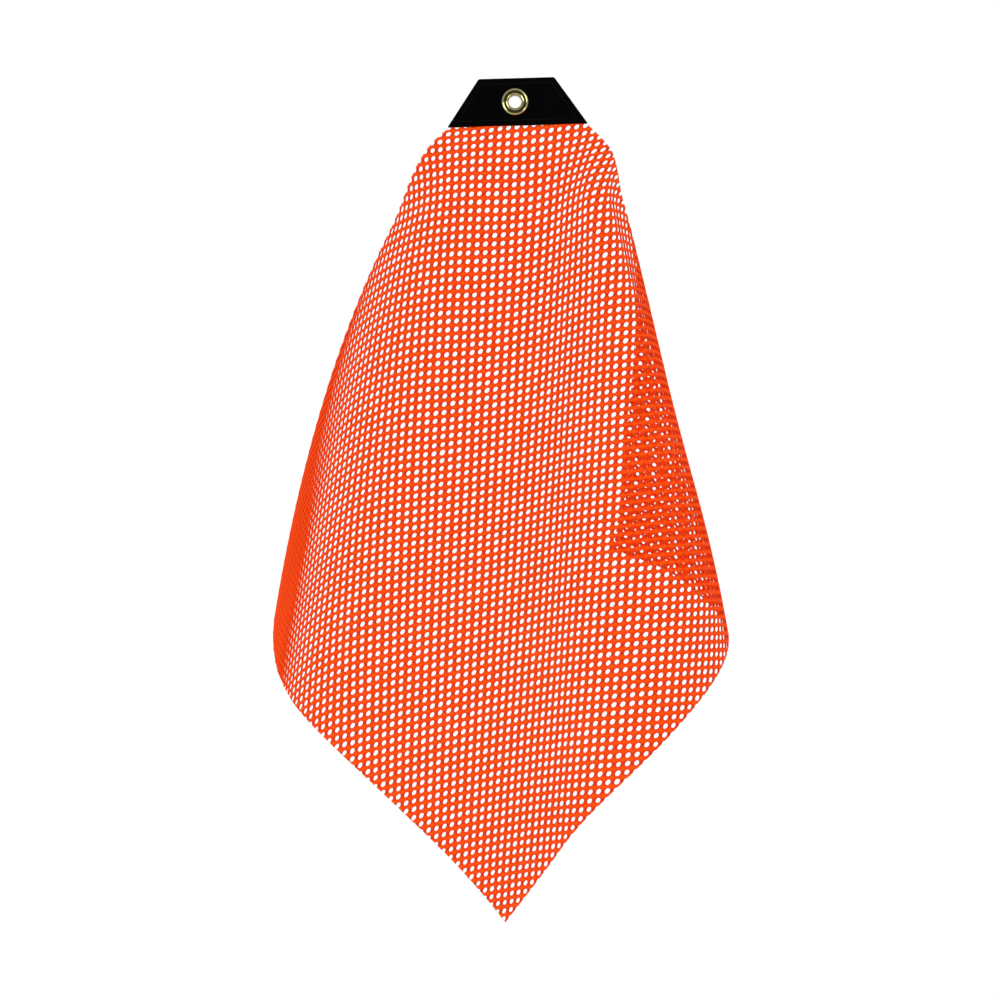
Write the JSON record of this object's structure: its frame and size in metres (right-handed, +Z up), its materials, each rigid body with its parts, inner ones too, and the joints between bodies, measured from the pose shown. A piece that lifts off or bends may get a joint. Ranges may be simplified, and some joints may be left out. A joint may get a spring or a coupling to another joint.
{
  "type": "mesh warning flag",
  "caption": "Square knitted mesh warning flag hung by one corner from a stitched vinyl tab with a brass grommet.",
  "frame": {"origin": "middle of the grommet's hole, halfway through the tab", "axes": "+Z up, -Y the front, which a viewer sees, and +X to that viewer's right"},
  "size_m": [0.3457, 0.3023, 0.6176],
  "materials": {
    "vinyl": "black coated vinyl with a fine grain",
    "net": "fluorescent orange knitted polyester net with open oval holes",
    "brass": "polished, pale yellow",
    "thread": "black sewing thread"
  },
  "bodies": {
    "hanger": {"tab_front": "vinyl", "tab_back": "vinyl", "mesh_corner": "net", "grommet_eyelet": "brass", "grommet_washer": "brass", "needle_thread": "thread", "bobbin_thread": "thread"},
    "flag": {"mesh_flag": "net"}
  },
  "joints": [
    {"name": "flag_swing", "type": "hinge", "parent": "hanger", "child": "flag", "pos_m": [0.00201, 0, -0.01835], "axis": [0.9996, 0, 0.0279], "range_deg": [-80, 80]}
  ]
}
